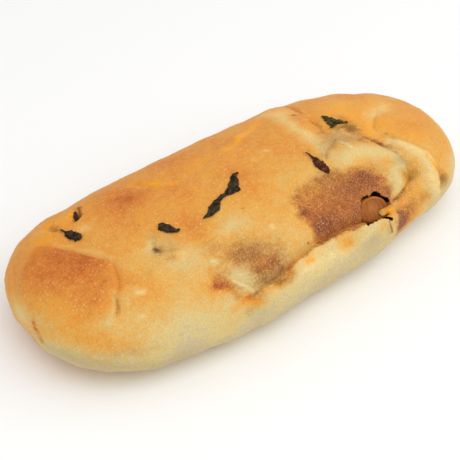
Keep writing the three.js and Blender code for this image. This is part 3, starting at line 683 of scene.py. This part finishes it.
# Thin lines: which stain they add to, places, width, amount
CREASE_LINES = [
    # The lip line: partly its own browning, partly painted shade in the crease under the lip
    ("brown", [(-15, 160), (-9, 157.9), (4, 157.5), (15, 158), (22, 159.8)], 0.5, 0.5),
    ("olive", [(27, 105), (30, 100), (35, 96), (42, 93)], 0.5, 0.40),
    ("olive", [(32, 104), (37, 99.5), (41, 98)], 0.45, 0.30),
    ("brown", [(47, 103.5), (50, 108), (52, 113), (55, 119)], 0.6, 0.40),
    ("olive", [(43, 91), (47, 93), (50, 97)], 0.7, 0.35),
    ("olive", [(36, 103), (42, 103), (46, 105)], 0.5, 0.30),
    ("brown", [(41, 157), (45, 157.5), (48, 155), (50, 151)], 0.6, 0.35),
    ("brown", [(66.5, 150), (66.3, 160), (66, 172)], 0.6, 0.40),
    ("brown", [(-37, 150), (-33, 156), (-30, 162)], 0.6, 0.25),
    ("oil", [(65.2, 137), (66.2, 146), (66, 155)], 0.8, 0.7),
    ("brown", [(-67.6, 50), (-68, 56), (-68.5, 64)], 0.7, 0.55),
    ("brown", [(-56.6, 51), (-57.8, 56), (-59.5, 60)], 0.9, 0.55),
    ("oil", [(1, 74.5), (4.5, 71.5), (12, 65.5), (20, 61)], 1.0, 0.6),
    ("oil", [(-38, 62), (-32.5, 68.5), (-26.5, 78.5)], 0.8, 0.5),
]
# The very tip on the left, in mm in the roll's frame: a pale spot, and a stain from end to end
PALE_TIP, PALE_TIP_REACH = np.array([-94.6, 6.5, 18.8]), (4, 6, 3.8)
TIP_STAIN = np.array([[-94.3, -2.5, 20.4], [-94.9, -6.8, 15.8]])
TIP_STAIN_REACH, TIP_STAIN_UP_TO_X = 1.1, -85
# Dark specks: x, turn, radius in mm, amount
SPECKS = [(-51.5, 107.5, 0.9, 0.7), (-2.9, 151.3, 0.5, 0.8), (-17, 110, 0.4, 0.6), (36.8, 68, 0.7, 0.7),
          (57, 104, 0.5, 0.3), (57.4, 108, 0.4, 0.3), (58.8, 113, 0.6, 0.4), (54, 148, 1.4, 0.25),
          (-69.2, 60, 0.8, 0.7), (-49, 89, 0.4, 0.3), (27.2, 135, 0.5, 0.4), (17.5, 130, 0.4, 0.4),
          (-58.5, 57, 1.3, 0.5), (-33.5, 90, 0.3, 0.4), (45, 95.5, 1.2, 0.2)]

# The boolean kept each place on the crust. Inside the cuts it is worked out from where they lie
INNER_HALF_WIDTH = 40
at = places_of(dough)
outside = noted(dough, "outside") > 0.5
inner_side = (at[:, 1] - BEND * (1 - (at[:, 0] / (LENGTH / 2)) ** 2)) / INNER_HALF_WIDTH
inner_up = (at[:, 2] - WAIST_HEIGHT) / (HEIGHT - WAIST_HEIGHT)
inner_turn = np.degrees(np.arctan2(inner_up, inner_side)) % 360
true_x = np.where(outside, noted(dough, "x"), at[:, 0])
true_turn = np.where(outside, noted(dough, "turn"), inner_turn)
x = true_x + 0.5 * rough(at, 7, 11) + 0.3 * rough(at, 2.6, 12)
turn = true_turn + 0.7 * rough(at, 7, 13) + 0.45 * rough(at, 2.6, 14)

# The flap's own colours end at its edge, the first of the lips
left_of_flap = beside_track(lip_tracks[0][0], roll_point(true_x, true_turn))[0]
on_flap = smooth(left_of_flap / 1.2 + 0.5) * (true_x < -60)
flap_bake = 0.23 * area(x, turn, FLAP_AREA, 9.0) + patches(x, turn, FLAP)
# The bake value: real baking, plus painted highlight and painted shade from the pale streaks below
bake = np.interp(turn, *np.array(BAKE_ROUND).T) + patches(x, turn, BAKED)
bake += on_flap * flap_bake + 0.03 * rough(at, 20, 15) + 0.02 * rough(at, 5, 16)
# Stain amounts: cream and brown also carry painted highlight and painted shade from the streaks below
stains_and_painted_light = {name: patches(x, turn, items) for name, items in STAINS.items()}
brown_in = area(x, turn, BROWN_AREA, 4.6)
stains_and_painted_light["brown"] += brown_in * (0.66 + patches(x, turn, BROWN_DEEPER))
bake += 0.40 * brown_in * smooth((turn - 108) / 30)
for places, width, less, more in PALE.values():
    near = streak(x, turn, places, width)
    bake -= less * near
    stains_and_painted_light["cream"] += more * near
pale_tip = bump(np.linalg.norm((at - PALE_TIP) / PALE_TIP_REACH, axis=-1), 0, 1)
bake -= 0.40 * pale_tip
stains_and_painted_light["cream"] += 0.20 * pale_tip
stain_top, stain_end = TIP_STAIN
stain_along = np.clip((at[:, 2] - stain_end[2]) / (stain_top[2] - stain_end[2]), 0, 1)[:, None]
stain_at = stain_along * stain_top + (1 - stain_along) * stain_end
beside_stain = np.linalg.norm((at - stain_at)[:, 1:], axis=-1)
stained = bump(beside_stain, 0, TIP_STAIN_REACH) * (at[:, 0] < TIP_STAIN_UP_TO_X)
bake += 0.6 * stained
stains_and_painted_light["brown"] += 0.45 * stained
# Dark specks of char; painted shade in the crack in the lip; char and painted shade in and round the tear
char_and_shade = np.zeros(len(at))
for speck_x, speck_turn, radius, amount in SPECKS:
    away = np.hypot(x - speck_x, (turn - speck_turn) * MM_PER_DEGREE)
    char_and_shade += amount * smooth(1.5 - away / radius)
for name, places, width, amount in CREASE_LINES:
    stains_and_painted_light[name] += amount * streak(x, turn, places, width)
for places, *_, amount, width in [seam for seam in SEAMS.values() if len(seam) > 3]:
    stains_and_painted_light["brown"] += amount * streak(x, turn, places, width)
# Painted shade: the crack in the lip is darkened along its line
char_and_shade += 0.6 * streak(x, turn, SEAMS["crack in the lip"][0], 0.25)

# The torn edge: charred with painted shade inside, and scorched with painted shade a little way outside
NEAR_TEAR, FAR_AWAY, SCORCH_AND_SHADE_REACH = 16, 50, 0.22
# Soft boxes in the plane of the tear. A side is its direction, where it starts, and its fade in mm
LEFT_END_OF_TEAR = [("across", -2.5, -2.0), ("up", 3.8, -1.2), ("up", -2.8, 0.8)]
BELOW_THE_GAP = [("across", -2.4, 1.0), ("across", 1.6, -1.0), ("up", -3.2, -0.6)]
ROOT_OF_TONGUE = [("across", -1.6, 0.6), ("up", -3.0, 0.5), ("up", -0.9, -0.5)]
TONGUE = [("across", -1.6, 0.8), ("up", -0.6, -0.8)]


def soft_box(place, sides):
    """Product of smooth steps, one for each side: 0 before its start, 1 once past its fade."""
    inside = 1.0
    for direction, start, fade in sides:
        inside = inside * smooth((place[direction] - start) / fade)
    return inside


near_tear = np.linalg.norm(at - tear_middle, axis=-1) < NEAR_TEAR
torn = dict(zip(("across", "up"), from_tear_plane(at)))
tear_outline = [(a, b / MM_PER_DEGREE) for a, b in TEAR_EDGE]
from_tear = from_edges(torn["across"], torn["up"] / MM_PER_DEGREE, tear_outline, True)
from_tear = np.where(near_tear, from_tear, FAR_AWAY)
scorch_and_shade = 1 - soft_box(torn, LEFT_END_OF_TEAR)
scorch_and_shade *= 1 - 0.8 * soft_box(torn, BELOW_THE_GAP)
# Char and painted shade: a dark band just outside the torn edge, kept off its left end and its lower side
char_and_shade += 0.8 * smooth(1.2 - from_tear / SCORCH_AND_SHADE_REACH) * near_tear * scorch_and_shade * (torn["up"] > -0.6)
scorch_and_shade *= 1 - soft_box(torn, ROOT_OF_TONGUE)
# Inside the cuts: char and painted shade on the torn walls, and fully dark on the hidden hollow
char_and_shade = np.where(outside, char_and_shade, np.where(near_tear, scorch_and_shade, 1))
inner_brown = 0.9 - 0.7 * soft_box(torn, TONGUE)
stains_and_painted_light["brown"] = np.where(~outside & near_tear, inner_brown, stains_and_painted_light["brown"])

for name, values in {"bake": bake, "char_and_shade": char_and_shade, **stains_and_painted_light}.items():
    note(dough, name, np.clip(values, 0, 1))
for name in ("outside", "x", "turn"):
    dough.data.attributes.remove(dough.data.attributes[name])


# Kinds of node in the rows below: type, inputs in the order of a row, output and settings. Any
# other kind is an operation of the Math node
PER_METRE = 1000
NODE_KINDS = {
    "where": ("TexCoord", (), "Object", {}),
    "noise": ("TexNoise", ("Vector", "Scale", "Detail"), "Fac", {}),
    "cells": ("TexVoronoi", ("Vector", "Scale"), "Distance", {}),
    "channel": ("SeparateColor", (0,), 0, {}),
    "vector": ("CombineXYZ", (0, 1), 0, {}),
    "scale": ("MapRange", range(5), 0, {}),
    "ease": ("MapRange", range(5), 0, {"interpolation_type": "SMOOTHSTEP"}),
    "ramp": ("ValToRGB", ("Fac",), "Color", {}),
    "mix": ("Mix", (0, 6, 7), 2, {"data_type": "RGBA"}),
    "brighten": ("HueSaturation", ("Color", "Value"), 0, {}),
    "relief": ("Bump", ("Height", "Distance", "Strength"), 0, {}),
}


def add(tree, kind, links, **settings):
    """Adds a node. Settings are its properties; links maps an input to a value or to a socket."""
    node = tree.nodes.new("ShaderNode" + kind)
    for name, value in settings.items():
        setattr(node, name, value)
    for key, value in links.items():
        if isinstance(value, bpy.types.NodeSocket):
            tree.links.new(value, node.inputs[key])
        else:
            node.inputs[key].default_value = value
    return node


def painted(name, shader_settings, kept, rows):
    """A material whose shader gets its settings, and one node for each kept number and each row.
    A row is its result, a kind, and what goes in: numbers, hex colours or earlier results.
    A result with the name of one of the shader's inputs is linked to it."""
    paint = bpy.data.materials.new(name)
    paint.use_nodes = True
    tree = paint.node_tree
    shader = tree.nodes["Principled BSDF"]
    for key, value in shader_settings.items():
        shader.inputs[key].default_value = value
    made = {}
    for number in kept:
        made[number] = add(tree, "Attribute", {}, attribute_name=number).outputs["Fac"]
    for result, kind, *values in rows:
        maths = ("Math", range(3), 0, {"operation": kind})
        node_type, sockets, output, settings = NODE_KINDS.get(kind, maths)
        values = [linear(v) if str(v).startswith("#") else made.get(v, v) for v in values]
        node = add(tree, node_type, dict(zip(sockets, values)), name=result, **settings)
        made[result] = node.outputs[output]
        made[result + " colour"] = node.outputs.get("Color")
        if result in shader.inputs:
            tree.links.new(made[result], shader.inputs[result])
    return paint


CRUST_ROWS = [
    ("place", "where"),
    ("grain", "noise", "place", PER_METRE / 2.4, 4),
    ("fine", "noise", "place", PER_METRE / 0.8, 3),
    ("wide", "noise", "place", PER_METRE / 10, 3),
    ("grit", "noise", "place", PER_METRE / 0.5, 2),
    ("ragged", "ease", "grain", 0.3, 0.7, -0.45, 0.45),
    ("uneven", "ease", "fine", 0.3, 0.7, -0.5, 0.5),
    ("ragged", "ADD", "ragged", "uneven"),
]
# How far it is baked, uneven in three sizes of pattern
baked = "bake"
for pattern, low, high, size in (("wide", 0.3, 0.7, 0.02), ("grain", 0.25, 0.75, 0.05),
                                 ("fine", 0.3, 0.7, 0.06)):
    CRUST_ROWS.append(("uneven", "ease", pattern, low, high, -size, size))
    CRUST_ROWS.append(("baked", "ADD", baked, "uneven"))
    baked = "baked"
CRUST_ROWS.append(("colour by bake", "ramp", "baked"))
# Only the edges of a stain are broken up: value + noise * value * (1 - value)
under = "colour by bake"
for stain, stain_colour in STAIN_COLOURS.items():
    CRUST_ROWS += [
        ("room", "SUBTRACT", 1.0, stain),
        ("room", "MULTIPLY", stain, "room"),
        ("broken up", "MULTIPLY_ADD", "room", "ragged", stain),
        ("colour", "mix", "broken up", under, stain_colour),
    ]
    under = "colour"
CRUST_ROWS += [
    # Pale blisters, each the size of its cell's chance squared, faint where it is pale or dark
    ("blisters", "cells", "place", PER_METRE / 1.1),
    ("size", "channel", "blisters colour"),
    ("size", "MULTIPLY", "size", "size"),
    ("dots", "DIVIDE", "blisters", "size"),
    ("dots", "ease", "dots", 0.55, 0.15),
    ("share", "ease", "bake", 0.25, 0.65, 0.0, 0.36),
    ("pale dots", "MULTIPLY", "dots", "share"),
    ("share", "ease", "wide", 0.3, 0.6, 0.3, 1.0),
    ("pale dots", "MULTIPLY", "pale dots", "share"),
    ("share", "ease", "bake", 0.66, 0.85, 1.0, 0.45),
    ("pale dots", "MULTIPLY", "pale dots", "share"),
    ("colour", "mix", "pale dots", "colour", "#f8dcae"),
    # Pale flecks on the brown, and lighter and darker grit all over
    ("flecks", "ease", "grit", 0.52, 0.68, 0.0, 0.3),
    ("flecks", "MULTIPLY", "flecks", "brown"),
    ("colour", "mix", "flecks", "colour", "#eec098"),
    ("bright", "ease", "grit", 0.3, 0.7, 0.92, 1.08),
    ("colour", "brighten", "colour", "bright"),
    # Char, and painted shade in the crack and in and round the tear: mixed towards near black
    ("Base Color", "mix", "char_and_shade", "colour", "#1c120a"),
    # Fine bumps, and a gloss where oil came through
    ("height", "MULTIPLY", "fine", 0.25),
    ("bumps", "MULTIPLY", "grain", 0.5),
    ("height", "ADD", "height", "bumps"),
    ("bumps", "MULTIPLY", "dots", 0.35),
    ("height", "ADD", "height", "bumps"),
    ("Normal", "relief", "height", 0.3 * MM, 0.7),
    ("Roughness", "ease", "oil", 0.0, 0.8, 0.55, 0.38),
]
# Baked crust: matte and a little soft to the light, with a dull shine where it is oily
crust_paint = painted("baked bread crust", {
    "Specular IOR Level": 0.14, "Subsurface Weight": 0.12, "Subsurface Radius": (1.0, 0.5, 0.25),
    "Subsurface Scale": 2 * MM}, ("bake", "char_and_shade", *STAINS), CRUST_ROWS)
ramp = crust_paint.node_tree.nodes["colour by bake"].color_ramp
for stop in STOPS[1:-1]:
    ramp.elements.new(stop[0])
for element, (share, colour) in zip(ramp.elements, STOPS):
    element.position = share
    element.color = linear(colour)

dough.data.materials.clear()
dough.data.materials.append(crust_paint)
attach(dough, "root")
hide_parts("dough")

# ---- Filling ----
# Soft stewed filling that runs through the roll. It swelled up into the tear and dried there
# to a smooth brown dome, darker where the crust shades it.
filling = core_skin("filling_core", 0)
joined(filling, bulge_skin("bulge", 0, BULGE_RINGS), operation="UNION")
at = places_of(filling)
across, up, height = from_tear_plane(at)
# Painted shade: a dark wedge in the gap at the dome's lower left
wedge = bump(across, -5.6, 3.2) * bump(up, -3.9, 1.5)
# Painted shade darkens the gaps; the dome is lighter at the left, with a painted lit upper rim and
# highlight
note(filling, "depth", np.clip((-height - BULGE_SUNK - 1.6) / 2.6 + 1.1 * wedge, 0, 1))
note(filling, "left", smooth((1.0 - across) / 6))
off_across, off_up = across - BULGE_AT[0], up - BULGE_AT[1]
turned = off_up * math.cos(BULGE_LEAN) - off_across * math.sin(BULGE_LEAN)
along = off_across * math.cos(BULGE_LEAN) + off_up * math.sin(BULGE_LEAN)
share = np.hypot(along / BULGE_ACROSS, turned / BULGE_UP)
note(filling, "painted_lit_rim", smooth((share - 0.76) / 0.06) * smooth(turned / 2.5) * bump(across, 1.0, 5.5))
note(filling, "across", across)
note(filling, "up", up)
note(filling, "painted_highlight", bump(across, -0.5, 2.6) * bump(up, 0.6, 2.4))

# Reduced sauce: brown with paler streaks drawn out sideways, and a low gloss
filling_paint = painted("glossy brown filling", {
    "Roughness": 0.38, "Specular IOR Level": 0.12}, ("depth", "left", "painted_lit_rim", "across", "up", "painted_highlight"), [
    ("drawn out", "MULTIPLY", "up", 0.3),
    ("flow", "vector", "across", "drawn out"),
    ("cloudy", "noise", "flow", 1.0, 4),
    ("amber", "mix", "left", "#84420c", "#8e4812"),
    ("pale", "scale", "cloudy", 0.42, 0.66, 0.0, 0.6),
    ("amber", "mix", "pale", "amber", "#b0702f"),
    # Painted highlight on the dome
    ("bright", "MULTIPLY", "painted_highlight", 0.55),
    ("amber", "mix", "bright", "amber", "#b8743c"),
    # Painted lit rim along the dome's upper edge
    ("amber", "mix", "painted_lit_rim", "amber", "#d87a26"),
    # Painted shade: near black in the gaps round the dome
    ("Base Color", "mix", "depth", "amber", "#170d07"),
    ("Normal", "relief", "cloudy", 0.6 * MM, 0.6),
])
filling.data.materials.clear()
filling.data.materials.append(filling_paint)
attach(filling, "root")
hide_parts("filling")


# ---- Leaves and a shred of dried tomato ----
# Dark baked herb leaves and one shred of tomato, wilted flat onto the crust and crumpled.
# Each is a thin closed scrap: places along it in the chart, and half widths in mm on each side.
LEAF_LIFT, LEAF_THICKNESS, LEAF_EDGE = 0.32, 0.4, 0.04
FRAYED = 0.12
SCRAP_STEPS, SCRAP_COLUMNS = 72, 13


def scrap(name, places, left, right, notch, seed):
    """Rows of points across a track, ragged at the edges, on the crust plus a crumpled height.
    The last rows are pulled back by the notch, less towards their ends, which leaves two lobes.
    The upper and lower faces part by the thickness and meet thinly at the edges."""
    track = track_over_roll(places, SCRAP_STEPS)
    share = np.linspace(0, len(places) - 1, SCRAP_STEPS)
    rng = np.random.default_rng(seed)
    across = np.linspace(-1, 1, SCRAP_COLUMNS)

    def ragged(widths):
        """Half width at each step, frayed by smoothed random steps."""
        steps = np.convolve(rng.normal(size=SCRAP_STEPS + 2), [0.5, 0.7, 0.5], "valid")
        return np.interp(share, range(len(widths)), widths) * (1 + FRAYED * steps)

    width = np.where(across < 0, ragged(right)[:, None], ragged(left)[:, None])
    pulled = notch * (share / share[-1])[:, None] ** 6 * (1 - np.abs(across))
    offset = track["left"][:, None] * (across * width)[..., None]
    offset = offset - track["ahead"][:, None] * pulled[..., None]
    chart_x, chart_turn = track["chart"][:, 0, None], track["chart"][:, 1, None]
    along, round_it = roll_slopes(chart_x, chart_turn)
    on_x = chart_x + (offset * along).sum(-1) / (along ** 2).sum(-1)
    on_turn = chart_turn + (offset * round_it).sum(-1) / (round_it ** 2).sum(-1)
    surface = crust_point(on_x, on_turn)
    out = roll_normal(on_x, on_turn)
    flat = surface.reshape(-1, 3)
    crumple = 0.22 * rough(flat, 3.2, seed + 1) + 0.12 * rough(flat, 1.5, seed + 2)
    edge = np.sqrt(np.clip(1 - across ** 2, 0, 1))
    middle = LEAF_LIFT + np.maximum(crumple.reshape(on_x.shape) + 0.1, -0.1)
    thick = LEAF_EDGE + LEAF_THICKNESS / 2 * edge
    upper = surface + out * (middle + thick)[..., None]
    lower = surface + out * (middle - thick)[..., None]
    rings = np.concatenate([upper, lower[:, ::-1]], 1)
    return skin(name, rings[0].mean(0), rings, rings[-1].mean(0))


def dried_paint(name, deep, light, roughness):
    """Wilted and crumpled: two tones in fine streaks, with a fine bump."""
    return painted(name, {"Roughness": roughness, "Specular IOR Level": 0.1}, (), [
        ("place", "where"),
        ("streaks", "noise", "place", PER_METRE / 1.4, 4),
        ("share", "scale", "streaks", 0.42, 0.72),
        ("Base Color", "mix", "share", deep, light),
        ("Normal", "relief", "streaks", 0.5 * MM, 0.9),
    ])


# Baked herb leaf: almost black, and dull. The greener one still shows some of its olive green
leaf_paint = dried_paint("baked herb leaf", "#241b11", "#52412a", 0.7)
green_leaf_paint = dried_paint("baked green herb leaf", "#2b2812", "#665a2a", 0.7)
# Dried tomato: dark red, and a little glossier from its oil
tomato_paint = dried_paint("dried tomato", "#3d1a0e", "#7d4024", 0.6)
# Name, slot, paint, places, half widths to the left and to the right, notch at the end
SCRAPS = [
    ("leaf_long", "leaf", leaf_paint,
     [(-6.5, 91), (-9, 91.6), (-11, 94.5), (-13.5, 97.5), (-17.5, 98.8), (-20, 99.2), (-23, 100.4),
      (-25.5, 102.3), (-28, 104.2), (-31, 104.6)],
     [0.2, 0.9, 1.8, 2.2, 0.8, 0.8, 1.4, 2.1, 1.3, 0.2],
     [0.2, 1.0, 1.8, 2.0, 0.9, 0.8, 1.3, 1.8, 1.2, 0.2], 0.0),
    ("leaf_patch", "leaf", leaf_paint,
     [(-40.4, 104), (-42, 103.6), (-43.2, 101), (-43.8, 98), (-43.6, 95)],
     [0.3, 0.9, 1.7, 2.1, 0.8], [0.3, 1.2, 2.1, 1.9, 0.8], 0.0),
    ("leaf_mid", "leaf", leaf_paint,
     [(-68.3, 64), (-68.2, 68), (-68, 70), (-67.6, 74), (-67.2, 77), (-66.8, 79)],
     [0.25, 0.4, 1.5, 1.9, 1.7, 0.6], [0.25, 0.4, 1.5, 1.8, 1.8, 0.7], 0.0),
    ("leaf_right", "leaf", green_leaf_paint,
     [(44, 79.3), (44.4, 83), (44.5, 86.5), (44.3, 90.4)],
     [0.2, 1.4, 2.6, 4.6], [0.2, 1.5, 2.6, 3.9], 2.6),
    ("leaf_sliver", "leaf", leaf_paint,
     [(-57.8, 52), (-59, 55), (-60.3, 58.5), (-61.5, 61.5)],
     [0.2, 0.5, 0.6, 0.2], [0.2, 0.5, 0.6, 0.2], 0.0),
    ("tomato_shred", "tomato", tomato_paint,
     [(21.2, 97.5), (21.6, 101), (21.6, 105), (21.5, 109), (21.4, 112.5), (21.2, 116)],
     [0.1, 0.35, 1.4, 2.2, 1.7, 0.4], [0.1, 0.35, 1.4, 2.1, 1.7, 0.4], 0.0),
]
for seed, (name, slot, paint, places, left, right, notch) in enumerate(SCRAPS):
    piece = scrap(name + "_dried", places, left, right, notch, 40 + 3 * seed)
    piece.data.materials.append(paint)
    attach(piece, "root")
    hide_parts(name)
